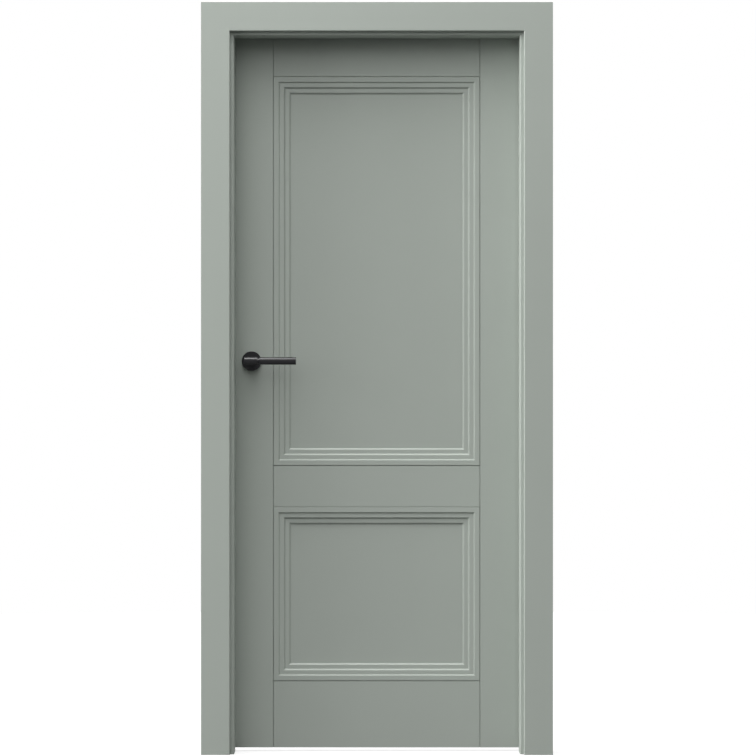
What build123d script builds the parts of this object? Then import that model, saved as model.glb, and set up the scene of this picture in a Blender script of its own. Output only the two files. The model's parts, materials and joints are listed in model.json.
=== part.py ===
from build123d import *
import math
import os

# Rebated interior door, hinged on the right, with its adjustable frame. Millimetres, Z up.
# X runs across the doorway, Y through the wall towards the side the leaf opens to.
# The origin is on the floor, midway between the jambs, in the plane of the leaf's near face.

# Doorway and wall
clear_width = 802.0
clear_height = 2017.0
wall_thickness = 100.0

# Frame boards
jamb_thickness = 30.0
stop_width = 11.0
nose_radius = 4.5
architrave_width = 81.0
architrave_thickness = 16.0
architrave_edge_radius = 3.0
back_relief_depth = 1.0
back_relief_start = 34.0
back_pad_width = 13.0
tongue_thickness = 6.0
near_tongue_length = 26.0
near_groove_depth = 32.0
near_tongue_inset = 18.0
far_tongue_length = 4.0
spline_thickness = 4.0
spline_width = 24.0
spline_depth = 30.0
spline_end_y = -20.0

# Seal in the stop
seal_space = 4.0
seal_kerf_width = 3.0
seal_kerf_depth = 6.0
seal_bulb_width = 7.0
seal_touch_gap = 0.3

# Leaf
leaf_thickness = 40.0
lip_thickness = 14.5
lip_overlap = 13.0
lip_gap = 0.5
lip_radius = 2.0
lock_side_gap = 2.0
hinge_side_gap = 4.0
head_gap = 3.0
floor_gap = 10.0
stile_width = 116.0
top_rail_height = 115.0
lock_rail_height = 116.0
bottom_rail_height = 188.0
lower_field_height = 493.5
rail_set_back = 1.0
joint_tongue_thickness = 10.0
joint_tongue_length = 8.0
joint_groove_spare = 0.5
seam_width = 1.4
seam_depth = 8.0
loose_tenon_reach = 38.0
loose_tenon_margin = 28.0

# Stepped moulding and panel
moulding_edge_break = 0.6
first_step = 17.0
step_spacing = 15.2
step_count = 3
first_step_drop = 4.0
first_step_slope = 3.2
step_drop = 5.0
step_slope = 4.2
panel_land = 1.0
panel_hold = 10.0
panel_groove_spare = 2.0

# Hinges
bottom_hinge_height = 363.0
top_hinge_drop = 219.0
hinge_names = ("bottom", "middle", "top")
knuckle_radius = 7.5
knuckle_length = 50.0
knuckle_edge_break = 1.5
knuckle_lip_gap = 0.5
hinge_pin_radius = 3.5
hinge_pin_reach = 44.0
hinge_pin_clearance = 0.06
spigot_radius = 3.5
leaf_spigot_length = 44.0
frame_spigot_length = 41.0
frame_spigot_lean = 20.0

# Lever sets
backset = 55.0
lever_height = 1104.0
rose_radius = 27.5
rose_height = 9.0
rose_wall = 1.3
rose_edge_break = 0.9
rose_fit = 0.2
neck_radius = 9.0
neck_clearance = 0.1
neck_hole_gap = 1.0
bush_wall = 2.4
cover_hole_gap = 0.4
bar_distance = 55.5
knuckle_bar_radius = 11.5
knuckle_bar_length = 37.5
waist_radius = 7.0
waist_length = 5.0
grip_radius = 10.5
grip_length = 103.0
grip_tenon_radius = 5.0
grip_tenon_length = 14.0
bar_edge_break = 0.6
spindle_side = 8.0
spindle_fit = 0.05
spindle_reach = 24.0
spindle_end_gap = 1.0
grub_radius = 2.5
grub_distance = 18.0
bolt_spacing = 38.0
bolt_radius = 2.0
bolt_head_radius = 3.6
bolt_head_height = 2.4
bolt_fit = 0.15

# Mortise latch
case_depth = 88.0
case_height = 90.0
case_thickness = 15.0
case_wall = 1.5
mortise_fit = 0.2
forend_width = 18.0
forend_height = 160.0
forend_thickness = 3.0
latch_rise = 20.0
latch_head_height = 24.0
latch_head_thickness = 11.0
latch_head_length = 24.0
latch_travel = 12.0
latch_fit = 0.2
latch_rod_radius = 2.5
latch_rod_rise = 25.0
latch_hook_thickness = 5.2
latch_hook_width = 6.0
latch_hook_foot = 13.0
hub_radius = 8.3
arm_radius = 17.2
arm_width = 5.0
arm_thickness = 7.5
nose_reach = 16.0
contact_gap = 0.3
guide_thickness = 2.0
guide_offset = 15.0
guide_foot = 20.0
strip_spring_thickness = 0.7
strip_spring_width = 8.0
strip_spring_foot = 12.0
strip_spring_hub_gap = 0.3

# Strike plate and wood screws
strike_width = 20.0
strike_height = 130.0
strike_thickness = 2.0
strike_hole_margin = 1.5
strike_pocket_depth = 12.0
screw_head_radius = 3.8
screw_head_height = 2.0
screw_shank_radius = 1.7
forend_screw_length = 25.0
strike_screw_length = 14.0
forend_screw_margin = 10.0
strike_screw_margin = 12.0

# Places worked out from the sizes above
X_AXIS = (1.0, 0.0, 0.0)
Y_AXIS = (0.0, 1.0, 0.0)
Z_AXIS = (0.0, 0.0, 1.0)
half_clear = clear_width / 2
stop_y = -seal_space
lip_y = leaf_thickness - lip_thickness
far_face_y = lip_y - lip_gap
far_wall_y = far_face_y - architrave_thickness
near_wall_y = far_wall_y - wall_thickness
near_face_y = near_wall_y - architrave_thickness
frame_reach = stop_width + architrave_width
rebate_half = half_clear + stop_width
leaf_middle_y = leaf_thickness / 2

lock_edge = -rebate_half + lock_side_gap
hinge_edge = rebate_half - hinge_side_gap
lock_seam = lock_edge + stile_width
hinge_seam = hinge_edge - stile_width
lock_lip = lock_edge - lip_overlap
hinge_lip = hinge_edge + lip_overlap
leaf_top = clear_height + stop_width - head_gap
lip_top = leaf_top + lip_overlap
bottom_rail_top = floor_gap + bottom_rail_height
lock_rail_bottom = bottom_rail_top + lower_field_height
lock_rail_top = lock_rail_bottom + lock_rail_height
top_rail_bottom = leaf_top - top_rail_height
panel_depth = first_step_drop + (step_count - 1) * step_drop
panel_thickness = leaf_thickness - 2 * panel_depth
moulding_reach = first_step + (step_count - 1) * step_spacing + step_slope / 2

top_hinge_height = clear_height - top_hinge_drop
hinge_heights = (bottom_hinge_height, (bottom_hinge_height + top_hinge_height) / 2, top_hinge_height)
hinge_x = hinge_lip + knuckle_lip_gap + knuckle_radius
hinge_y = far_face_y + knuckle_lip_gap + knuckle_radius
spindle_x = lock_edge + backset
body_middle_y = lip_y / 2
latch_z = lever_height + latch_rise
case_front = lock_edge + forend_thickness
case_back = lock_edge + case_depth
case_near = body_middle_y - case_thickness / 2
case_far = body_middle_y + case_thickness / 2
case_low = lever_height - case_height / 2
case_high = lever_height + case_height / 2
bush_radius = neck_radius + neck_clearance + bush_wall
rose_base_height = rose_height - rose_wall - rose_fit - bolt_head_height
rod_z = lever_height + latch_rod_rise


def block(x0, x1, y0, y1, z0, z1):
    """Straight block between two corners."""
    middle = Pos((x0 + x1) / 2, (y0 + y1) / 2, (z0 + z1) / 2)
    return middle * Box(x1 - x0, y1 - y0, z1 - z0)


def rod(radius, start, direction, length):
    """Round bar from a point, along a direction."""
    return extrude(Plane(origin=start, z_dir=direction) * Circle(radius), length)


def outline(points):
    """Flat face inside a closed line through the points."""
    return make_face(Polyline(*points, close=True))


def edges_near(solid, axis, **place):
    """Edges of a solid that run along an axis through a place, given by x, y or z."""
    found = solid.edges().filter_by(axis)
    for name, value in place.items():
        found = found.filter_by(lambda edge: abs(getattr(edge.center(), name.upper()) - value) < 0.01)
    return found


def other_side(solid):
    """The same piece on the other upright of the frame."""
    return mirror(solid, about=Plane.YZ)


# Frame: three boards of one section, mitred at the head

def mitre_zone():
    """Everything above the two 45-degree mitre planes of the frame's head."""
    reach = frame_reach + half_clear
    corner = clear_height - half_clear
    points = [(0, corner), (reach, corner + reach), (-reach, corner + reach)]
    return extrude(Plane.XZ * outline(points), 4 * wall_thickness, both=True)


def frame_upright(section):
    """Right-hand board: a section of distances outward from the clear opening and through the wall."""
    board = extrude(Pos(half_clear, 0, 0) * section, clear_height + frame_reach)
    return board - mitre_zone()


def frame_head(section):
    """Head board of the same section."""
    reach = frame_reach + half_clear
    plane = Plane(origin=(reach, 0, clear_height), x_dir=Z_AXIS, z_dir=(-1, 0, 0))
    return extrude(plane * section, 2 * reach) & mitre_zone()


def jamb_section():
    """L-shaped board: stop and rebate inside, groove for the near architrave, kerf for the seal."""
    board = outline([
        (0, near_wall_y), (jamb_thickness, near_wall_y), (jamb_thickness, far_face_y),
        (stop_width, far_face_y), (stop_width, stop_y), (0, stop_y),
    ])
    nose = board.vertices().sort_by_distance((0, near_wall_y, 0))[0]
    board = fillet(nose, nose_radius)
    groove = outline([
        (near_tongue_inset, near_wall_y), (near_tongue_inset + tongue_thickness, near_wall_y),
        (near_tongue_inset + tongue_thickness, near_wall_y + near_groove_depth),
        (near_tongue_inset, near_wall_y + near_groove_depth),
    ])
    kerf_inside = (stop_width - seal_kerf_width) / 2
    kerf = outline([
        (kerf_inside, stop_y), (kerf_inside + seal_kerf_width, stop_y),
        (kerf_inside + seal_kerf_width, stop_y - seal_kerf_depth),
        (kerf_inside, stop_y - seal_kerf_depth),
    ])
    return board - groove - kerf - far_tongue()


def far_tongue():
    """Tongue of the far architrave, flush with its wall side, and the groove that it fills."""
    return outline([
        (jamb_thickness - far_tongue_length, far_wall_y), (jamb_thickness, far_wall_y),
        (jamb_thickness, far_wall_y + tongue_thickness),
        (jamb_thickness - far_tongue_length, far_wall_y + tongue_thickness),
    ])


def back_relief(wall_y, outward):
    """Shallow hollow in an architrave's back, so that its outer edge beds on the wall."""
    end = frame_reach - back_pad_width
    hollow_y = wall_y + outward * back_relief_depth
    return outline([(back_relief_start, wall_y), (end, wall_y), (end, hollow_y),
                    (back_relief_start, hollow_y)])


def near_architrave_section():
    """Flat board with rounded edges and a long tongue that slides in the jamb to suit the wall."""
    board = outline([
        (stop_width, near_face_y), (frame_reach, near_face_y),
        (frame_reach, near_wall_y), (stop_width, near_wall_y),
    ])
    inner = board.vertices().sort_by_distance((stop_width, near_face_y, 0))[0]
    board = fillet(inner, architrave_edge_radius)
    tongue = outline([
        (near_tongue_inset, near_wall_y), (near_tongue_inset + tongue_thickness, near_wall_y),
        (near_tongue_inset + tongue_thickness, near_wall_y + near_tongue_length),
        (near_tongue_inset, near_wall_y + near_tongue_length),
    ])
    return board + tongue - back_relief(near_wall_y, -1)


def far_architrave_section():
    """Flat board on the far side, held by a tongue in the jamb's outer face."""
    board = outline([
        (jamb_thickness, far_wall_y), (frame_reach, far_wall_y),
        (frame_reach, far_face_y), (jamb_thickness, far_face_y),
    ])
    outer = board.vertices().sort_by_distance((frame_reach, far_face_y, 0))[0]
    board = fillet(outer, architrave_edge_radius)
    return board + far_tongue() - back_relief(far_wall_y, 1)


def seal_section():
    """Rubber seal: a stem pushed into the kerf and a bulb that stands up to the leaf."""
    middle = stop_width / 2
    stem = seal_kerf_width / 2
    bulb = seal_bulb_width / 2
    lines = [
        Polyline(
            (middle + bulb, stop_y), (middle + stem, stop_y), (middle + stem, stop_y - seal_kerf_depth),
            (middle - stem, stop_y - seal_kerf_depth), (middle - stem, stop_y), (middle - bulb, stop_y),
        ),
        ThreePointArc((middle - bulb, stop_y), (middle, -seal_touch_gap), (middle + bulb, stop_y)),
    ]
    return make_face(lines)


def corner_spline():
    """Flat spline across the right-hand mitre, glued in a slot of its own size."""
    middle = jamb_thickness / 2
    spline = Box(spline_width, spline_depth, spline_thickness)
    place = Pos(half_clear + middle, spline_end_y - spline_depth / 2, clear_height + middle)
    return place * Rot(0, 45, 0) * spline


# Leaf: stiles, rails, mouldings and panels

def stile(body_edge, seam, lip_edge):
    """Upright of the leaf, rebated at its edge and head, grooved along its seam."""
    side = 1 if body_edge > seam else -1
    body = block(min(seam, body_edge), max(seam, body_edge), 0, lip_y, floor_gap, leaf_top)
    lip = block(min(seam, lip_edge), max(seam, lip_edge), lip_y, leaf_thickness, floor_gap, lip_top)
    board = body + lip
    outer = edges_near(board, Axis.Z, x=lip_edge, y=leaf_thickness)
    upper = edges_near(board, Axis.X, y=leaf_thickness, z=lip_top)
    board = fillet(outer + upper, lip_radius)
    depth = side * (joint_tongue_length + joint_groove_spare)
    half = joint_tongue_thickness / 2
    groove = block(min(seam, seam + depth), max(seam, seam + depth),
                   leaf_middle_y - half, leaf_middle_y + half, floor_gap, lip_top)
    return board - groove


def rail(bottom, top, lip_end, groove_below, groove_above):
    """Cross piece between the stiles: a tongue at each end, grooves where a moulding meets it."""
    near, far = rail_set_back, leaf_thickness - rail_set_back
    board = block(lock_seam, hinge_seam, near, far, bottom, top)
    if lip_end > top:
        board += block(lock_seam, hinge_seam, lip_y, far, top, lip_end)
        board = fillet(edges_near(board, Axis.X, y=far, z=lip_end), lip_radius)
    half = joint_tongue_thickness / 2
    low, high = leaf_middle_y - half, leaf_middle_y + half
    depth = joint_tongue_length + joint_groove_spare
    tongue_bottom, tongue_top = bottom, top
    if groove_below:
        tongue_bottom = bottom + depth
        board -= block(lock_seam, hinge_seam, low, high, bottom, tongue_bottom)
    if groove_above:
        tongue_top = top - depth
        board -= block(lock_seam, hinge_seam, low, high, tongue_top, top)
    board += block(lock_seam - joint_tongue_length, hinge_seam + joint_tongue_length,
                   low, high, tongue_bottom, tongue_top)
    for seam, inward in ((lock_seam, seam_width), (hinge_seam, -seam_width)):
        left, right = min(seam, seam + inward), max(seam, seam + inward)
        board -= block(left, right, 0, seam_depth, bottom, lip_end)
        board -= block(left, right, leaf_thickness - seam_depth, leaf_thickness, bottom, lip_end)
    return board


def moulding_section():
    """Stepped strip, the same on both faces of the leaf, with a groove that holds the panel."""
    front = [(0, seam_depth), (seam_width, seam_depth), (seam_width, moulding_edge_break),
             (seam_width + moulding_edge_break, 0)]
    front += [(first_step - first_step_slope / 2, 0), (first_step + first_step_slope / 2, first_step_drop)]
    for step in range(1, step_count):
        middle = first_step + step * step_spacing
        level = first_step_drop + (step - 1) * step_drop
        front.append((middle - step_slope / 2, level))
        front.append((middle + step_slope / 2, level + step_drop))
    front[-1] = (moulding_reach, panel_depth - panel_land)
    groove_end = moulding_reach - panel_hold - panel_groove_spare
    front += [(moulding_reach, panel_depth), (groove_end, panel_depth)]
    back = [(across, leaf_thickness - depth) for across, depth in reversed(front)]
    return outline(front + back)


def moulding_strip(corner, inward, length):
    """Strip along one edge of an opening, mitred at both ends, with a tongue for the board beside it."""
    along = Vector(*inward).cross(Vector(*Y_AXIS))
    across = Plane(origin=corner, x_dir=inward, z_dir=along)
    bar = extrude(across * moulding_section(), length)
    flat = Plane(origin=corner, x_dir=inward, z_dir=(0, -1, 0))
    reach = moulding_reach
    mitred = outline([(0, 0), (reach, reach), (reach, length - reach), (0, length)])
    bar = bar & extrude(flat * mitred, 2 * leaf_thickness, both=True)
    half = joint_tongue_thickness / 2
    tongue = outline([
        (-joint_tongue_length, leaf_middle_y - half), (0, leaf_middle_y - half),
        (0, leaf_middle_y + half), (-joint_tongue_length, leaf_middle_y + half),
    ])
    return bar + extrude(across * tongue, length)


def moulding_frame(bottom, top):
    """The four strips round one panel, by name."""
    width = hinge_seam - lock_seam
    height = top - bottom
    return {
        "lock_side": moulding_strip((lock_seam, 0, bottom), X_AXIS, height),
        "hinge_side": moulding_strip((hinge_seam, 0, top), (-1, 0, 0), height),
        "bottom": moulding_strip((hinge_seam, 0, bottom), Z_AXIS, width),
        "top": moulding_strip((lock_seam, 0, top), (0, 0, -1), width),
    }


def panel(bottom, top):
    """Flat panel that floats in the grooves of its four strips."""
    edge = moulding_reach - panel_hold
    return block(lock_seam + edge, hinge_seam - edge, panel_depth, panel_depth + panel_thickness,
                 bottom + edge, top - edge)


def loose_tenons():
    """Flat tenons that join the rails to the stiles, each in slots of its own size."""
    half = joint_tongue_thickness / 2
    spans = ((floor_gap, bottom_rail_top), (lock_rail_bottom, lock_rail_top),
             (top_rail_bottom, leaf_top))
    return [block(seam - loose_tenon_reach, seam + loose_tenon_reach, leaf_middle_y - half,
                  leaf_middle_y + half, bottom + loose_tenon_margin, top - loose_tenon_margin)
            for bottom, top in spans
            for seam in (lock_seam, hinge_seam)]


# Hinges: two knuckles on one pin, each with a spigot into its board

def frame_spigot(radius, z, length):
    """Spigot that leans from the lower knuckle into the hinge jamb."""
    lean = math.radians(frame_spigot_lean)
    return rod(radius, (hinge_x, hinge_y, z - knuckle_length / 2),
               (-math.sin(lean), -math.cos(lean), 0), length)


def leaf_spigot(radius, z, length):
    """Spigot that runs level from the upper knuckle into the edge of the leaf."""
    return rod(radius, (hinge_x, hinge_y, z + knuckle_length / 2), (-1, 0, 0), length)


def hinge_knuckle(z, upward):
    """Round knuckle above or below the height where the two halves meet."""
    body = rod(knuckle_radius, (hinge_x, hinge_y, z), (0, 0, upward), knuckle_length)
    end = body.faces().sort_by(Axis.Z)[-1 if upward > 0 else 0]
    return chamfer(end.edges(), knuckle_edge_break)


def pin_hole(z, upward, clearance):
    """Pin hole of one knuckle."""
    return rod(hinge_pin_radius + clearance, (hinge_x, hinge_y, z), (0, 0, upward),
               hinge_pin_reach + clearance)


def hinge_leaf_half(z):
    """Upper knuckle with its spigot, turning on the pin."""
    return hinge_knuckle(z, 1) + leaf_spigot(spigot_radius, z, leaf_spigot_length) \
        - pin_hole(z, 1, hinge_pin_clearance)


def hinge_frame_half(z):
    """Lower knuckle with its spigot, holding the pin."""
    return hinge_knuckle(z, -1) + frame_spigot(spigot_radius, z, frame_spigot_length) \
        - pin_hole(z, -1, 0)


# Lever sets: each side is made outward from its face of the leaf

class Side:
    """One face of the leaf: where it lies, and which way is out."""

    def __init__(self, name, face_y, out):
        self.name = name
        self.face_y = face_y
        self.out = out

    def point(self, distance, x=spindle_x, z=lever_height):
        """Point at a distance out from this face."""
        return (x, self.face_y + self.out * distance, z)

    def rod(self, radius, start, end, x=spindle_x, z=lever_height):
        """Round bar between two distances out from this face."""
        return rod(radius, self.point(start, x, z), (0, self.out, 0), end - start)


near_side = Side("near", 0.0, -1)
far_side = Side("far", leaf_thickness, 1)


def rose_base(side):
    """Disc screwed to the leaf, with the bush's hole and two bolt holes."""
    disc = side.rod(rose_radius - rose_wall - rose_fit, 0, rose_base_height)
    disc -= side.rod(bush_radius, 0, rose_base_height)
    for shift in (-bolt_spacing / 2, bolt_spacing / 2):
        disc -= side.rod(bolt_radius + bolt_fit, 0, rose_base_height, x=spindle_x + shift)
    return disc


def rose_cover(side):
    """Thin cap over the base, open round the neck."""
    cap = side.rod(rose_radius, 0, rose_height)
    outer = cap.edges().filter_by(GeomType.CIRCLE).sort_by(Axis.Y)[0 if side.out < 0 else -1]
    cap = chamfer(outer, rose_edge_break)
    cap -= side.rod(rose_radius - rose_wall, 0, rose_height - rose_wall)
    return cap - side.rod(neck_radius + cover_hole_gap, 0, rose_height)


def neck_bush(side):
    """Plain plastic bearing of the neck, inside the rose base."""
    return side.rod(bush_radius, 0, rose_base_height) \
        - side.rod(neck_radius + neck_clearance, 0, rose_base_height)


def lever(side):
    """Neck and cross knuckle, with a square socket for the spindle and a bore for the grip."""
    neck = side.rod(neck_radius, contact_gap, bar_distance)
    start = side.point(bar_distance, x=spindle_x - knuckle_bar_length / 2)
    bar = rod(knuckle_bar_radius, start, X_AXIS, knuckle_bar_length)
    bar = chamfer(bar.edges().filter_by(GeomType.CIRCLE), bar_edge_break)
    socket_end = side.point(spindle_reach + spindle_end_gap)
    half = spindle_side / 2 + spindle_fit
    socket = block(spindle_x - half, spindle_x + half,
                   min(side.face_y, socket_end[1]), max(side.face_y, socket_end[1]),
                   lever_height - half, lever_height + half)
    bore_start = side.point(bar_distance, x=spindle_x + knuckle_bar_length / 2)
    bore = rod(grip_tenon_radius, bore_start, (-1, 0, 0), grip_tenon_length)
    screw = rod(grub_radius + spindle_fit, side.point(grub_distance), (0, 0, -1), neck_radius)
    return neck + bar - socket - bore - screw


def grip(side):
    """Round grip on a narrow waist, with a tenon that fills the knuckle's bore."""
    end = spindle_x + knuckle_bar_length / 2
    tenon = rod(grip_tenon_radius, side.point(bar_distance, x=end - grip_tenon_length), X_AXIS,
                grip_tenon_length + waist_length)
    waist = rod(waist_radius, side.point(bar_distance, x=end), X_AXIS, waist_length)
    bar = rod(grip_radius, side.point(bar_distance, x=end + waist_length), X_AXIS, grip_length)
    bar = chamfer(bar.edges().filter_by(GeomType.CIRCLE), bar_edge_break)
    return tenon + waist + bar


def grub_screw(side):
    """Set screw that locks one lever on the spindle from below."""
    return rod(grub_radius, side.point(grub_distance, z=lever_height - spindle_side / 2 - spindle_fit),
               (0, 0, -1), neck_radius - spindle_side / 2 - bar_edge_break)


def spindle():
    """Square bar through both levers and the follower."""
    half = spindle_side / 2
    return block(spindle_x - half, spindle_x + half, -spindle_reach, leaf_thickness + spindle_reach,
                 lever_height - half, lever_height + half)


def rose_bolts():
    """Two bolts through the leaf that clamp the rose bases together."""
    bolts = []
    for shift in (-bolt_spacing / 2, bolt_spacing / 2):
        shank = near_side.rod(bolt_radius, -leaf_thickness - rose_base_height,
                              rose_base_height, x=spindle_x + shift)
        for side in (near_side, far_side):
            shank += side.rod(bolt_head_radius, rose_base_height,
                              rose_base_height + bolt_head_height, x=spindle_x + shift)
        bolts.append(shank)
    return bolts


# Mortise latch

def latch_head():
    """Sprung head: flat on the holding side, sloped on the side that meets the strike first."""
    low, high = body_middle_y - latch_head_thickness / 2, body_middle_y + latch_head_thickness / 2
    tip = lock_edge - latch_travel
    points = [(tip, high), (tip + latch_head_length, high), (tip + latch_head_length, low),
              (lock_edge, low), (tip, high - case_wall)]
    bottom = latch_z - latch_head_height / 2
    return extrude(Pos(0, 0, bottom) * outline(points), latch_head_height)


def latch_bolt():
    """Latch head, its rod and the hook that the follower's arm pulls."""
    back = lock_edge - latch_travel + latch_head_length
    hook_face = spindle_x + arm_width / 2 + contact_gap
    tail = rod(latch_rod_radius, (back, body_middle_y, rod_z), X_AXIS, hook_face - back)
    half = latch_hook_width / 2
    hook = block(hook_face, hook_face + latch_hook_thickness, body_middle_y - half,
                 body_middle_y + half, lever_height + latch_hook_foot, rod_z + latch_rod_radius)
    return latch_head() + tail + hook


def follower():
    """Turning hub with a square hole, the arm that pulls the latch and a nose for the strip spring."""
    hub = rod(hub_radius, (spindle_x, case_near, lever_height), Y_AXIS, case_thickness)
    half = arm_width / 2
    low, high = body_middle_y - arm_thickness / 2, body_middle_y + arm_thickness / 2
    arm = block(spindle_x - half, spindle_x + half, low, high, lever_height,
                lever_height + arm_radius)
    tip = rod(half, (spindle_x, low, lever_height + arm_radius), Y_AXIS, arm_thickness)
    nose = block(spindle_x - half, spindle_x + half, low, high, lever_height - nose_reach,
                 lever_height)
    square = spindle_side / 2 + spindle_fit
    hole = block(spindle_x - square, spindle_x + square, case_near, case_far,
                 lever_height - square, lever_height + square)
    return hub + arm + tip + nose - hole


def case_holes():
    """Holes through both walls of the case for the follower and the rose bolts."""
    holes = rod(hub_radius + latch_fit, (spindle_x, case_near, lever_height), Y_AXIS,
                case_thickness)
    for shift in (-bolt_spacing / 2, bolt_spacing / 2):
        holes += rod(bolt_radius + latch_fit, (spindle_x + shift, case_near, lever_height), Y_AXIS,
                     case_thickness)
    return holes


def latch_opening(x0, x1):
    """Opening that the latch head slides through."""
    half_z = latch_head_height / 2 + latch_fit
    half_y = latch_head_thickness / 2 + latch_fit
    return block(x0, x1, body_middle_y - half_y, body_middle_y + half_y,
                 latch_z - half_z, latch_z + half_z)


def lock_case():
    """Tray of the case, with the plate that guides the latch rod and carries its spring."""
    tray = block(case_front, case_back, case_near, case_far - case_wall, case_low, case_high)
    tray -= block(case_front + case_wall, case_back - case_wall, case_near + case_wall, case_far,
                  case_low + case_wall, case_high - case_wall)
    guide_x = spindle_x - guide_offset
    guide = block(guide_x - guide_thickness, guide_x, case_near + case_wall, case_far - case_wall,
                  lever_height + guide_foot, case_high - case_wall)
    guide -= rod(latch_rod_radius + latch_fit, (guide_x - guide_thickness, body_middle_y, rod_z),
                 X_AXIS, guide_thickness)
    return tray + guide - case_holes() - latch_opening(case_front, case_front + case_wall)


def lock_cover():
    """Plate that closes the case."""
    plate = block(case_front, case_back, case_far - case_wall, case_far, case_low, case_high)
    return plate - case_holes()


def forend_screw_heights():
    """Heights of the two screws in the forend."""
    reach = forend_height / 2 - forend_screw_margin
    return (lever_height - reach, lever_height + reach)


def plate_screw(x, z, inward, length):
    """Countersunk wood screw, its head flush with a face at x."""
    cone = Plane(origin=(x, body_middle_y, z), z_dir=(inward, 0, 0))
    head = loft([cone * Circle(screw_head_radius),
                 cone.offset(screw_head_height) * Circle(screw_shank_radius)])
    return head + extrude(cone * Circle(screw_shank_radius), length)


def lock_forend():
    """Flat plate in the edge of the leaf."""
    return forend_recess() - latch_opening(lock_edge, case_front)


def forend_recess():
    """Seat of the forend in the leaf's edge."""
    return block(lock_edge, case_front, body_middle_y - forend_width / 2,
                 body_middle_y + forend_width / 2, lever_height - forend_height / 2,
                 lever_height + forend_height / 2)


def lock_mortise():
    """Pocket for the case, holes for the spindle and the rose bolts, through the lock stile."""
    pocket = block(lock_edge, case_back + mortise_fit, case_near - mortise_fit,
                   case_far + mortise_fit, case_low - mortise_fit, case_high + mortise_fit)
    start = (spindle_x, 0, lever_height)
    holes = rod(neck_radius + neck_hole_gap, start, Y_AXIS, leaf_thickness)
    for shift in (-bolt_spacing / 2, bolt_spacing / 2):
        holes += rod(bolt_radius + bolt_fit, (spindle_x + shift, 0, lever_height), Y_AXIS,
                     leaf_thickness)
    return pocket + holes + forend_recess()


def strip_spring(face, wall_z, end_z, out):
    """Bent strip: its foot lies under a wall of the case, and its blade stands beside what it pushes."""
    up = 1 if end_z > wall_z else -1
    inner_z = wall_z + up * strip_spring_thickness
    far_x = face + out * strip_spring_thickness
    foot_x = face + out * strip_spring_foot
    section = outline([(face, wall_z), (face, end_z), (far_x, end_z), (far_x, inner_z),
                       (foot_x, inner_z), (foot_x, wall_z)])
    middle = Plane(origin=(0, body_middle_y, 0), x_dir=X_AXIS, z_dir=(0, -1, 0))
    return extrude(middle * section, strip_spring_width / 2, both=True)


def latch_spring():
    """Strip that pushes the latch's hook, and so the latch, outward."""
    face = spindle_x + arm_width / 2 + latch_hook_thickness + 2 * contact_gap
    return strip_spring(face, case_high - case_wall, lever_height + latch_hook_foot, 1)


def follower_spring():
    """Strip that pushes the follower's nose back."""
    face = spindle_x - arm_width / 2 - contact_gap
    return strip_spring(face, case_low + case_wall,
                        lever_height - hub_radius - strip_spring_hub_gap, -1)


# Strike plate in the lock jamb

def strike_hole(x0, x1):
    """Opening behind which the latch head catches."""
    half_y = latch_head_thickness / 2 + strike_hole_margin
    half_z = latch_head_height / 2 + strike_hole_margin
    return block(x0, x1, body_middle_y - half_y, body_middle_y + half_y,
                 latch_z - half_z, latch_z + half_z)


def strike_screw_heights():
    """Heights of the two screws in the strike plate."""
    reach = strike_height / 2 - strike_screw_margin
    return (latch_z - reach, latch_z + reach)


def strike_recess():
    """Seat of the strike plate in the jamb's rebate."""
    return block(-rebate_half - strike_thickness, -rebate_half, body_middle_y - strike_width / 2,
                 body_middle_y + strike_width / 2, latch_z - strike_height / 2,
                 latch_z + strike_height / 2)


def strike_plate():
    """Flat plate let into the rebate of the lock jamb."""
    return strike_recess() - strike_hole(-rebate_half - strike_thickness, -rebate_half)


def strike_seat():
    """Recess for the plate and pocket for the latch head."""
    pocket_end = -rebate_half - strike_thickness - strike_pocket_depth
    return strike_recess() + strike_hole(pocket_end, -rebate_half)


def join(shapes):
    """One cutting tool from many."""
    return shapes[0] + shapes[1:]


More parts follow.
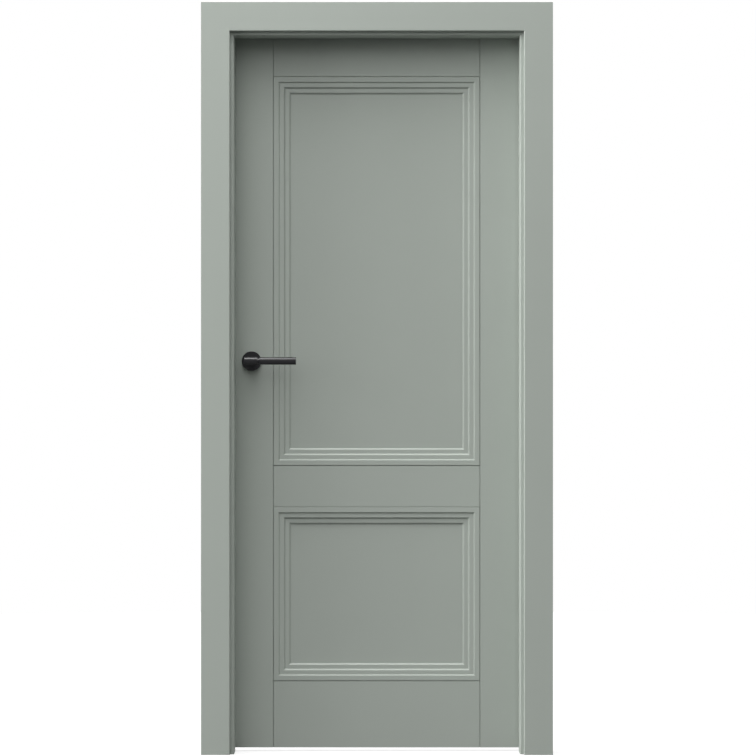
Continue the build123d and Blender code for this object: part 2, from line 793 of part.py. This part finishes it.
def build():
    """All pieces by node name; a list holds separate like solids of one node."""
    pieces = {}

    jamb = frame_upright(jamb_section())
    spline = corner_spline()
    splines = [spline, other_side(spline)]
    strike_screws = [plate_screw(-rebate_half, z, -1, strike_screw_length)
                     for z in strike_screw_heights()]
    pieces["jamb_lock_side"] = other_side(jamb) - splines[1] - strike_seat() - join(strike_screws)
    spigot_holes = join([frame_spigot(spigot_radius, z, frame_spigot_length) for z in hinge_heights])
    pieces["jamb_hinge_side"] = jamb - splines[0] - spigot_holes
    pieces["head_jamb"] = frame_head(jamb_section()) - join(splines)
    for name, section in (("near_architrave", near_architrave_section()),
                          ("far_architrave", far_architrave_section()),
                          ("seal", seal_section())):
        upright = frame_upright(section)
        pieces[name + "_hinge_side"] = upright
        pieces[name + "_lock_side"] = other_side(upright)
        pieces[name + "_head"] = frame_head(section)
    pieces["frame_corner_splines"] = splines
    pieces["strike_plate"] = strike_plate() - join(strike_screws)
    pieces["strike_screws"] = strike_screws

    forend_screws = [plate_screw(lock_edge, z, 1, forend_screw_length)
                     for z in forend_screw_heights()]
    tenons = join(loose_tenons())
    pieces["lock_stile"] = stile(lock_edge, lock_seam, lock_lip) - tenons - lock_mortise() \
        - join(forend_screws)
    leaf_spigots = join([leaf_spigot(spigot_radius, z, leaf_spigot_length) for z in hinge_heights])
    pieces["hinge_stile"] = stile(hinge_edge, hinge_seam, hinge_lip) - tenons - leaf_spigots
    pieces["bottom_rail"] = rail(floor_gap, bottom_rail_top, bottom_rail_top, False, True) - tenons
    pieces["lock_rail"] = rail(lock_rail_bottom, lock_rail_top, lock_rail_top, True, True) - tenons
    pieces["top_rail"] = rail(top_rail_bottom, leaf_top, lip_top, True, False) - tenons
    for name, bottom, top in (("upper", lock_rail_top, top_rail_bottom),
                              ("lower", bottom_rail_top, lock_rail_bottom)):
        for place, strip in moulding_frame(bottom, top).items():
            pieces[f"{name}_moulding_{place}"] = strip
        pieces[f"{name}_panel"] = panel(bottom, top)
    pieces["loose_tenons"] = loose_tenons()

    for name, z in zip(hinge_names, hinge_heights):
        pieces[f"hinge_leaf_half_{name}"] = hinge_leaf_half(z)
        pieces[f"hinge_frame_half_{name}"] = hinge_frame_half(z)
    pieces["hinge_pins"] = [rod(hinge_pin_radius, (hinge_x, hinge_y, z - hinge_pin_reach), Z_AXIS,
                                2 * hinge_pin_reach) for z in hinge_heights]

    for side in (near_side, far_side):
        pieces[f"rose_base_{side.name}"] = rose_base(side)
        pieces[f"rose_cover_{side.name}"] = rose_cover(side)
        pieces[f"lever_{side.name}"] = lever(side)
        pieces[f"grip_{side.name}"] = grip(side)
    pieces["neck_bushes"] = [neck_bush(side) for side in (near_side, far_side)]
    pieces["grub_screws"] = [grub_screw(side) for side in (near_side, far_side)]
    pieces["rose_bolts"] = rose_bolts()
    pieces["spindle"] = spindle()

    pieces["lock_case"] = lock_case()
    pieces["lock_cover"] = lock_cover()
    pieces["lock_forend"] = lock_forend() - join(forend_screws)
    pieces["forend_screws"] = forend_screws
    pieces["follower"] = follower()
    pieces["follower_spring"] = follower_spring()
    pieces["latch_bolt"] = latch_bolt()
    pieces["latch_spring"] = latch_spring()
    return pieces


os.makedirs("parts", exist_ok=True)
for node, shape in build().items():
    solids = shape if isinstance(shape, list) else shape.solids()
    export_step(solids[0] if len(solids) == 1 else Compound(children=solids), f"parts/{node}.step")
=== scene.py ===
import json
import math

import bmesh
import bpy
from mathutils import Matrix, Vector


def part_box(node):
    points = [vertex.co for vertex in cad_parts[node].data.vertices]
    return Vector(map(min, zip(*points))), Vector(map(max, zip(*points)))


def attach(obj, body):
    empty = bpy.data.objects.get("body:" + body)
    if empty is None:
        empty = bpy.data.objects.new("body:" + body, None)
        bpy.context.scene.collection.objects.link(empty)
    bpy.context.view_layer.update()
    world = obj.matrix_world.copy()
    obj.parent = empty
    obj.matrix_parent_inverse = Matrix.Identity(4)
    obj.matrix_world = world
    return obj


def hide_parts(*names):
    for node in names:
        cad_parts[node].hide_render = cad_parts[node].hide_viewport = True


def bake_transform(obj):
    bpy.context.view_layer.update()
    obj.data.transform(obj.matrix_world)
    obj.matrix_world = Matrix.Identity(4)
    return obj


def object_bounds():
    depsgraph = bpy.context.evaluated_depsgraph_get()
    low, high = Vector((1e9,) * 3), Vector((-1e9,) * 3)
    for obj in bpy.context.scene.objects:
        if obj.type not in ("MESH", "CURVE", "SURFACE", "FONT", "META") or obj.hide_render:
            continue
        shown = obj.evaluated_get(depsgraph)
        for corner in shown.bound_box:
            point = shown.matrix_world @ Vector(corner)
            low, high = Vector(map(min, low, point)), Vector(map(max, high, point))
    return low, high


# Interior door with its frame, metres. +X to the hinges, +Y through the wall, +Z up.
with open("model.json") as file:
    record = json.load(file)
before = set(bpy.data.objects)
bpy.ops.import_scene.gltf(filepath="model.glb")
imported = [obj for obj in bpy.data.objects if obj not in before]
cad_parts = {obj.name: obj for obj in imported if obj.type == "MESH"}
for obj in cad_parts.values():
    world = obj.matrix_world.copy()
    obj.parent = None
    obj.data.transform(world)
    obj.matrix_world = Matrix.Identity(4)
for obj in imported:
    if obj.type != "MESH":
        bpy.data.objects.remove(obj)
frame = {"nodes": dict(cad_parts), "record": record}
cad_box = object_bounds()
nodes = frame["nodes"]
MM = 0.001


# Colour

def colour(hex_code):
    """Linear RGBA from an sRGB hex value."""
    channels = [int(hex_code[i:i + 2], 16) / 255 for i in (0, 2, 4)]
    linear = [c / 12.92 if c <= 0.04045 else ((c + 0.055) / 1.055) ** 2.4 for c in channels]
    return (*linear, 1.0)


def grey(level):
    """Linear RGBA of a neutral grey."""
    return (level, level, level, 1.0)


# Shader nodes

# Socket places of a colour mix, where several sockets share a name
MIX_SHARE = 0
MIX_FROM = 6
MIX_TO = 7
MIXED = 2


def feed(tree, node, inputs):
    """Give each of these inputs of a node a value or a link."""
    for name, value in inputs.items():
        if isinstance(value, bpy.types.NodeSocket):
            tree.links.new(value, node.inputs[name])
        else:
            node.inputs[name].default_value = value


def add(tree, kind, inputs, **settings):
    """Add a node with its settings, and feed its inputs."""
    made = tree.nodes.new(kind)
    for name, value in settings.items():
        setattr(made, name, value)
    feed(tree, made, inputs)
    return made


def new_material(name):
    """New material with its tree, its shader, and the surface point that its patterns follow."""
    material = bpy.data.materials.new(name)
    material.use_nodes = True
    tree = material.node_tree
    place = add(tree, "ShaderNodeNewGeometry", {}).outputs["Position"]
    return material, tree, tree.nodes["Principled BSDF"], place


def per_metre(size_mm):
    """Texture scale of a pattern whose features are this many millimetres apart."""
    return 1000.0 / size_mm


# Finishes

def sage_lacquer():
    """Water-based matt lacquer sprayed on milled board: even colour, soft sheen, faint orange peel."""
    material, tree, shader, place = new_material("sage_lacquer_on_board")
    # The film's thickness drifts slowly across a board
    film = add(tree, "ShaderNodeTexNoise", {"Vector": place, "Scale": per_metre(260), "Detail": 2.0})
    tint = add(tree, "ShaderNodeMix",
               {MIX_SHARE: film.outputs["Fac"], MIX_FROM: colour("A7AEA7"), MIX_TO: colour("ABB2AB")},
               data_type="RGBA")
    # The peel has waves of about 2 mm
    peel = add(tree, "ShaderNodeTexNoise", {"Vector": place, "Scale": per_metre(2.2), "Detail": 2.0})
    sheen = add(tree, "ShaderNodeMapRange",
                {"Value": peel.outputs["Fac"], "To Min": 0.52, "To Max": 0.60})
    bump = add(tree, "ShaderNodeBump",
               {"Height": peel.outputs["Fac"], "Strength": 0.2, "Distance": 0.03 * MM})
    feed(tree, shader, {"Base Color": tint.outputs[MIXED], "Roughness": sheen.outputs["Result"],
                        "Normal": bump.outputs["Normal"], "IOR": 1.5, "Specular IOR Level": 0.16})
    return material


def black_powder_coat():
    """Satin powder coat on die-cast zinc: near black, soft broad highlights, fine even grain."""
    material, tree, shader, place = new_material("satin_black_powder_coat")
    # The real grain, under half a millimetre, is drawn coarser so that it shows
    grain = add(tree, "ShaderNodeTexNoise", {"Vector": place, "Scale": per_metre(1.2), "Detail": 2.0})
    tone = add(tree, "ShaderNodeMix",
               {MIX_SHARE: grain.outputs["Fac"], MIX_FROM: colour("212123"), MIX_TO: colour("2B2B2D")},
               data_type="RGBA")
    sheen = add(tree, "ShaderNodeMapRange",
                {"Value": grain.outputs["Fac"], "To Min": 0.37, "To Max": 0.45})
    bump = add(tree, "ShaderNodeBump",
               {"Height": grain.outputs["Fac"], "Strength": 0.2, "Distance": 0.04 * MM})
    feed(tree, shader, {"Base Color": tone.outputs[MIXED], "Roughness": sheen.outputs["Result"],
                        "Normal": bump.outputs["Normal"], "IOR": 1.5, "Specular IOR Level": 0.12})
    return material


def satin_steel():
    """Satin-brushed stainless steel: fine upright scratches that stretch the highlight."""
    material, tree, shader, place = new_material("satin_brushed_stainless_steel")
    # The real scratches, about a tenth of a millimetre wide, are drawn wider so that they show
    lines = add(tree, "ShaderNodeMapping",
                {"Vector": place, "Scale": (per_metre(0.6), per_metre(0.6), per_metre(22))})
    brush = add(tree, "ShaderNodeTexNoise",
                {"Vector": lines.outputs["Vector"], "Scale": 1.0, "Detail": 3.0})
    tone = add(tree, "ShaderNodeMix",
               {MIX_SHARE: brush.outputs["Fac"], MIX_FROM: colour("98948E"), MIX_TO: colour("B2AEA8")},
               data_type="RGBA")
    sheen = add(tree, "ShaderNodeMapRange",
                {"Value": brush.outputs["Fac"], "To Min": 0.24, "To Max": 0.40})
    bump = add(tree, "ShaderNodeBump",
               {"Height": brush.outputs["Fac"], "Strength": 0.3, "Distance": 0.02 * MM})
    feed(tree, shader, {"Base Color": tone.outputs[MIXED], "Roughness": sheen.outputs["Result"],
                        "Normal": bump.outputs["Normal"], "Metallic": 1.0})
    return material


def zinc_plate():
    """Bright zinc plate on pressed steel: cool grey with a faint mottled passivation."""
    material, tree, shader, place = new_material("zinc_plated_steel")
    # The mottling has patches of about 9 mm
    mottle = add(tree, "ShaderNodeTexNoise", {"Vector": place, "Scale": per_metre(9), "Detail": 4.0})
    tone = add(tree, "ShaderNodeMix",
               {MIX_SHARE: mottle.outputs["Fac"], MIX_FROM: colour("A7ABB0"), MIX_TO: colour("CDD0D1")},
               data_type="RGBA")
    sheen = add(tree, "ShaderNodeMapRange",
                {"Value": mottle.outputs["Fac"], "To Min": 0.28, "To Max": 0.45})
    feed(tree, shader, {"Base Color": tone.outputs[MIXED], "Roughness": sheen.outputs["Result"],
                        "Metallic": 1.0})
    return material


def seal_rubber():
    """Extruded soft thermoplastic seal: matt grey-green with a fine grain."""
    material, tree, shader, place = new_material("extruded_seal_rubber")
    # The real grain, under half a millimetre, is drawn coarser so that it shows
    grain = add(tree, "ShaderNodeTexNoise", {"Vector": place, "Scale": per_metre(1.5), "Detail": 2.0})
    tone = add(tree, "ShaderNodeMix",
               {MIX_SHARE: grain.outputs["Fac"], MIX_FROM: colour("6E756E"), MIX_TO: colour("7D847D")},
               data_type="RGBA")
    bump = add(tree, "ShaderNodeBump",
               {"Height": grain.outputs["Fac"], "Strength": 0.3, "Distance": 0.05 * MM})
    feed(tree, shader, {"Base Color": tone.outputs[MIXED], "Normal": bump.outputs["Normal"],
                        "Roughness": 0.7, "IOR": 1.5})
    return material


def moulded_nylon():
    """Injection-moulded white nylon: a waxy sheen with soft flow marks."""
    material, tree, shader, place = new_material("moulded_nylon")
    # The flow marks are about 3 mm apart
    flow = add(tree, "ShaderNodeTexNoise", {"Vector": place, "Scale": per_metre(3)})
    sheen = add(tree, "ShaderNodeMapRange",
                {"Value": flow.outputs["Fac"], "To Min": 0.36, "To Max": 0.48})
    feed(tree, shader, {"Base Color": colour("E4E2DA"), "Roughness": sheen.outputs["Result"],
                        "IOR": 1.53})
    return material


def planed_beech():
    """Planed bare beech: pale tan with narrow darker streaks along the grain."""
    material, tree, shader, place = new_material("planed_beech")
    # The streaks are level, about 2 mm apart and ten times as long
    along = add(tree, "ShaderNodeMapping",
                {"Vector": place, "Scale": (per_metre(20), per_metre(2), per_metre(2))})
    grain = add(tree, "ShaderNodeTexNoise",
                {"Vector": along.outputs["Vector"], "Scale": 1.0, "Detail": 4.0})
    tone = add(tree, "ShaderNodeMix",
               {MIX_SHARE: grain.outputs["Fac"], MIX_FROM: colour("B08D63"), MIX_TO: colour("D2B288")},
               data_type="RGBA")
    feed(tree, shader, {"Base Color": tone.outputs[MIXED], "Roughness": 0.6, "IOR": 1.5})
    return material


finishes = {
    "sage_lacquer": sage_lacquer(),
    "black_metal": black_powder_coat(),
    "satin_steel": satin_steel(),
    "zinc_steel": zinc_plate(),
    "seal_rubber": seal_rubber(),
    "nylon": moulded_nylon(),
    "beech": planed_beech(),
}
for part in frame["record"]["subparts"]:
    cad = nodes[part["node"]]
    cad.data.materials.clear()
    cad.data.materials.append(finishes[part["material_slot"]])


# Screws: the plain rods get threads and driving recesses

SCREW_SIDES = 32
ROWS_A_TURN = 8
WOOD_SCREW_HEAD_HEIGHT = 2.0 * MM
WOOD_SCREW_SHANK_RADIUS = 1.7 * MM
WOOD_SCREW_PLAIN_HEIGHT = 1.5 * WOOD_SCREW_HEAD_HEIGHT
WOOD_SCREW_PITCH = 1.8 * MM
WOOD_SCREW_THREAD_DEPTH = 0.45 * MM
WOOD_SCREW_POINT_HEIGHT = 5.0 * MM
WOOD_SCREW_TIP_RADIUS = 0.1 * MM
CROSS_ARM = 2.3 * MM
CROSS_HALF_WIDTH = 0.55 * MM
CROSS_DEPTH = 1.6 * MM
CROSS_TAPER = 0.55
SET_SCREW_PITCH = 0.8 * MM
SET_SCREW_THREAD_DEPTH = 0.35 * MM
HEX_HALF_WIDTH = 1.25 * MM
HEX_DEPTH = 2.0 * MM
HEX_TAPER = 1.0
RECESS_OVERSHOOT = 0.2
SMOOTH_BELOW = math.radians(40)


def turned_screw(radius_at, length, plain, pitch, depth):
    """Round bar up +Z from the origin, with a V thread of this depth past its plain height."""
    made = bmesh.new()
    rows = round(length / pitch * ROWS_A_TURN)
    rings = []
    for row in range(rows + 1):
        height = length * row / rows
        cut = depth if plain < height < length else 0.0
        ring = []
        for side in range(SCREW_SIDES):
            turn = side / SCREW_SIDES
            # 0 at the thread's crest and 1 at its root
            groove = abs(2 * ((height / pitch - turn) % 1) - 1)
            radius = radius_at(height) - cut * groove
            angle = turn * math.tau
            ring.append(made.verts.new((radius * math.cos(angle), radius * math.sin(angle), height)))
        rings.append(ring)
    for low, high in zip(rings, rings[1:]):
        for side in range(SCREW_SIDES):
            after = (side + 1) % SCREW_SIDES
            made.faces.new((low[side], low[after], high[after], high[side]))
    made.faces.new(reversed(rings[0]))
    made.faces.new(rings[-1])
    return made


def tapered_recess(points, depth, taper):
    """Cutter for a driving recess: from a little above the head's face, narrower at its floor."""
    made = bmesh.new()
    above = -RECESS_OVERSHOOT * depth
    top = [made.verts.new((x, y, above)) for x, y in points]
    bottom = [made.verts.new((x * taper, y * taper, depth)) for x, y in points]
    for i in range(len(points)):
        after = (i + 1) % len(points)
        made.faces.new((top[i], top[after], bottom[after], bottom[i]))
    made.faces.new(reversed(top))
    made.faces.new(bottom)
    return made


def cross_outline():
    """Twelve corners of a cross recess."""
    arm, half = CROSS_ARM, CROSS_HALF_WIDTH
    quarter = [(arm, -half), (arm, half), (half, half)]
    quarter_turns = [(1, 0), (0, 1), (-1, 0), (0, -1)]
    return [(x * c - y * s, x * s + y * c) for c, s in quarter_turns for x, y in quarter]


def hex_outline():
    """Six corners of a hexagon socket."""
    corner = HEX_HALF_WIDTH / math.cos(math.pi / 6)
    return [(corner * math.cos(i * math.pi / 3), corner * math.sin(i * math.pi / 3)) for i in range(6)]


def as_object(name, made):
    """Object from a finished bmesh."""
    bmesh.ops.recalc_face_normals(made, faces=made.faces)
    mesh = bpy.data.meshes.new(name)
    made.to_mesh(mesh)
    made.free()
    thing = bpy.data.objects.new(name, mesh)
    bpy.context.scene.collection.objects.link(thing)
    return thing


def cut_screw(blank, cutter):
    """Mesh of one screw with its driving recess cut out."""
    screw = as_object("screw_blank", blank)
    tool = as_object("recess_tool", cutter)
    cut = screw.modifiers.new("recess", "BOOLEAN")
    cut.operation = "DIFFERENCE"
    cut.solver = "EXACT"
    cut.object = tool
    graph = bpy.context.evaluated_depsgraph_get()
    mesh = bpy.data.meshes.new_from_object(screw.evaluated_get(graph))
    bpy.data.objects.remove(screw)
    bpy.data.objects.remove(tool)
    return mesh


def screw_set(name, node, body, slot, mesh, heads, inward):
    """One piece of like screws that stands for a node: heads at these points, driven inward."""
    made = bmesh.new()
    turn = Vector((0, 0, 1)).rotation_difference(Vector(inward)).to_matrix().to_4x4()
    for head in heads:
        placed = mesh.copy()
        placed.transform(Matrix.Translation(head) @ turn)
        made.from_mesh(placed)
        bpy.data.meshes.remove(placed)
    piece = as_object(name, made)
    bpy.data.meshes.remove(mesh)
    piece.data.materials.append(finishes[slot])
    piece.data.shade_smooth()
    piece.data.set_sharp_from_angle(angle=SMOOTH_BELOW)
    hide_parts(node)
    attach(piece, body)


def wood_screws(node, body, inward_x):
    """Countersunk cross-recess wood screws, one near each end of a plate."""
    low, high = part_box(node)
    length = high.x - low.x
    head_radius = (high.y - low.y) / 2
    flare = WOOD_SCREW_SHANK_RADIUS - head_radius

    def radius_at(height):
        """Countersunk head, straight shank and tapered point."""
        cone = head_radius + flare * height / WOOD_SCREW_HEAD_HEIGHT
        point = WOOD_SCREW_SHANK_RADIUS * (length - height) / WOOD_SCREW_POINT_HEIGHT
        upper = max(cone, WOOD_SCREW_SHANK_RADIUS)
        return max(min(upper, point + WOOD_SCREW_TIP_RADIUS), WOOD_SCREW_TIP_RADIUS)

    blank = turned_screw(radius_at, length, WOOD_SCREW_PLAIN_HEIGHT, WOOD_SCREW_PITCH,
                         WOOD_SCREW_THREAD_DEPTH)
    mesh = cut_screw(blank, tapered_recess(cross_outline(), CROSS_DEPTH, CROSS_TAPER))
    face_x = low.x if inward_x > 0 else high.x
    middle_y = (low.y + high.y) / 2
    heads = [Vector((face_x, middle_y, z)) for z in (low.z + head_radius, high.z - head_radius)]
    screw_set(f"{node}_cross_recessed", node, body, "satin_steel", mesh, heads, (inward_x, 0, 0))


def set_screws(node, body):
    """Hexagon-socket set screws driven up from below, one in each lever's neck."""
    low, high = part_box(node)
    radius = (high.x - low.x) / 2
    length = high.z - low.z
    blank = turned_screw(lambda height: radius, length, 0, SET_SCREW_PITCH, SET_SCREW_THREAD_DEPTH)
    mesh = cut_screw(blank, tapered_recess(hex_outline(), HEX_DEPTH, HEX_TAPER))
    middle_x = (low.x + high.x) / 2
    heads = [Vector((middle_x, y, low.z)) for y in (low.y + radius, high.y - radius)]
    screw_set(f"{node}_hex_socket", node, body, "zinc_steel", mesh, heads, (0, 0, 1))


wood_screws("forend_screws", "leaf", 1)
wood_screws("strike_screws", "frame", -1)
set_screws("grub_screws", "handle")


# Latch spring: the upright strip is cut into short lengths

SPRING_LENGTHS = 10
WELD_WITHIN = 0.001 * MM


def bending_strip(node, slot):
    """Copy of an upright strip spring, cut into short lengths."""
    low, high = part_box(node)
    made = bmesh.new()
    made.from_mesh(nodes[node].data)
    bmesh.ops.remove_doubles(made, verts=made.verts, dist=WELD_WITHIN)
    for i in range(1, SPRING_LENGTHS):
        height = low.z + (high.z - low.z) * i / SPRING_LENGTHS
        everything = made.verts[:] + made.edges[:] + made.faces[:]
        bmesh.ops.bisect_plane(made, geom=everything, plane_co=(0, 0, height), plane_no=(0, 0, 1))
    piece = as_object(f"{node}_bending", made)
    piece.data.materials.append(finishes[slot])
    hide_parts(node)
    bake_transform(piece)


bending_strip("latch_spring", "zinc_steel")


# Stage: pale floor that looks white to the camera and keeps a soft shadow

FLOOR_RADIUS = 6.0
FLOOR_SIDES = 96
FLOOR_BELOW = 0.5 * MM
FLOOR_GLOW = 0.76
FLOOR_SHADE = 0.3
FLOOR_BOUNCE = 0.05


def white_rays(tree):
    """1 for rays from the camera and for rays in gloss or through glass, else 0."""
    path = add(tree, "ShaderNodeLightPath", {}).outputs
    first = add(tree, "ShaderNodeMath", {0: path["Is Camera Ray"], 1: path["Is Glossy Ray"]},
                operation="MAXIMUM")
    either = add(tree, "ShaderNodeMath", {0: first.outputs[0], 1: path["Is Transmission Ray"]},
                 operation="MAXIMUM")
    return either.outputs[0]


def stage_material():
    """White with a soft shadow to the camera and in gloss, dull where it bounces light."""
    material = bpy.data.materials.new("stage_floor")
    material.use_nodes = True
    tree = material.node_tree
    tree.nodes.clear()
    glow = add(tree, "ShaderNodeEmission", {"Strength": FLOOR_GLOW})
    pale = add(tree, "ShaderNodeBsdfDiffuse", {"Color": grey(FLOOR_SHADE)})
    shown = add(tree, "ShaderNodeAddShader", {0: glow.outputs[0], 1: pale.outputs[0]})
    dull = add(tree, "ShaderNodeBsdfDiffuse", {"Color": grey(FLOOR_BOUNCE)})
    own = add(tree, "ShaderNodeMixShader",
              {0: white_rays(tree), 1: dull.outputs[0], 2: shown.outputs[0]})
    add(tree, "ShaderNodeOutputMaterial", {"Surface": own.outputs[0]})
    return material


disc = bmesh.new()
bmesh.ops.create_circle(disc, cap_ends=True, segments=FLOOR_SIDES, radius=FLOOR_RADIUS)
floor = as_object("floor", disc)
floor.location = (0, 0, -FLOOR_BELOW)
floor.data.materials.append(stage_material())


# Light: a soft sky and five round lamps

SKY_LEFT = 1.38
SKY_OVERHEAD = 1.64
HORIZON_BLEND = 0.08


def make_sky():
    """World light that grows to the left and overhead, and is white where it is seen."""
    world = bpy.data.worlds.new("studio")
    bpy.context.scene.world = world
    world.use_nodes = True
    tree = world.node_tree
    tree.nodes.clear()
    direction = add(tree, "ShaderNodeTexCoord", {}).outputs["Generated"]
    axes = add(tree, "ShaderNodeSeparateXYZ", {0: direction}).outputs
    left = add(tree, "ShaderNodeMapRange",
               {"Value": axes["X"], "From Min": 0.0, "From Max": -1.0, "To Max": SKY_LEFT})
    overhead = add(tree, "ShaderNodeMapRange",
                   {"Value": axes["Z"], "From Min": 0.0, "From Max": 1.0, "To Max": SKY_OVERHEAD})
    above = add(tree, "ShaderNodeMapRange",
                {"Value": axes["Z"], "From Min": -HORIZON_BLEND, "From Max": HORIZON_BLEND})
    both = add(tree, "ShaderNodeMath",
               {0: left.outputs["Result"], 1: overhead.outputs["Result"]}, operation="ADD")
    strength = add(tree, "ShaderNodeMath",
                   {0: both.outputs[0], 1: above.outputs["Result"]}, operation="MULTIPLY")
    light = add(tree, "ShaderNodeBackground", {"Color": grey(1.0), "Strength": strength.outputs[0]})
    white = add(tree, "ShaderNodeBackground", {"Color": grey(1.0), "Strength": 1.0})
    mixed = add(tree, "ShaderNodeMixShader",
                {0: white_rays(tree), 1: light.outputs[0], 2: white.outputs[0]})
    add(tree, "ShaderNodeOutputWorld", {"Surface": mixed.outputs[0]})


def lamp(name, place, size, power):
    """Round area lamp that points at the middle of the door."""
    data = bpy.data.lights.new(name, "AREA")
    data.shape = "DISK"
    data.size = size
    data.energy = power
    made = bpy.data.objects.new(name, data)
    bpy.context.scene.collection.objects.link(made)
    made.location = place
    aim = Vector((0, 0, cad_box[1].z / 2)) - Vector(place)
    made.rotation_euler = aim.to_track_quat("-Z", "Y").to_euler()
    return made


make_sky()
# Two lamps graze the door from the left, and two shine from above
lamp("left_lamp", place=(-4.4, -0.35, 2.4), size=1.4, power=162)
lamp("left_front_lamp", place=(-4.2, -1.1, 2.4), size=1.4, power=68)
lamp("top_lamp", place=(-0.6, -1.5, 4.6), size=2.0, power=35)
lamp("front_lamp", place=(-0.6, -3.6, 4.0), size=2.5, power=22)
# The fifth shows only in gloss, as the bright line along the lever
gloss_lamp = lamp("gloss_lamp", place=(-0.6, -1.0, 4.6), size=1.0, power=390)
gloss_lamp.visible_diffuse = False


# Camera: level, straight on, with the lens axis at the picture's centre

CAMERA_DISTANCE = 9.9
CAMERA_X = 0.0028
CAMERA_Z = 1.056
FRONT_PLANE_WIDTH = 2.1176
SENSOR_WIDTH_MM = 36.0
camera_data = bpy.data.cameras.new("camera")
camera = bpy.data.objects.new("camera", camera_data)
bpy.context.scene.collection.objects.link(camera)
camera.location = (CAMERA_X, cad_box[0].y - CAMERA_DISTANCE, CAMERA_Z)
camera.rotation_euler = (math.pi / 2, 0, 0)
camera_data.sensor_width = SENSOR_WIDTH_MM
camera_data.lens = SENSOR_WIDTH_MM * CAMERA_DISTANCE / FRONT_PLANE_WIDTH
bpy.context.scene.camera = camera
bpy.context.scene.view_settings.view_transform = "Standard"
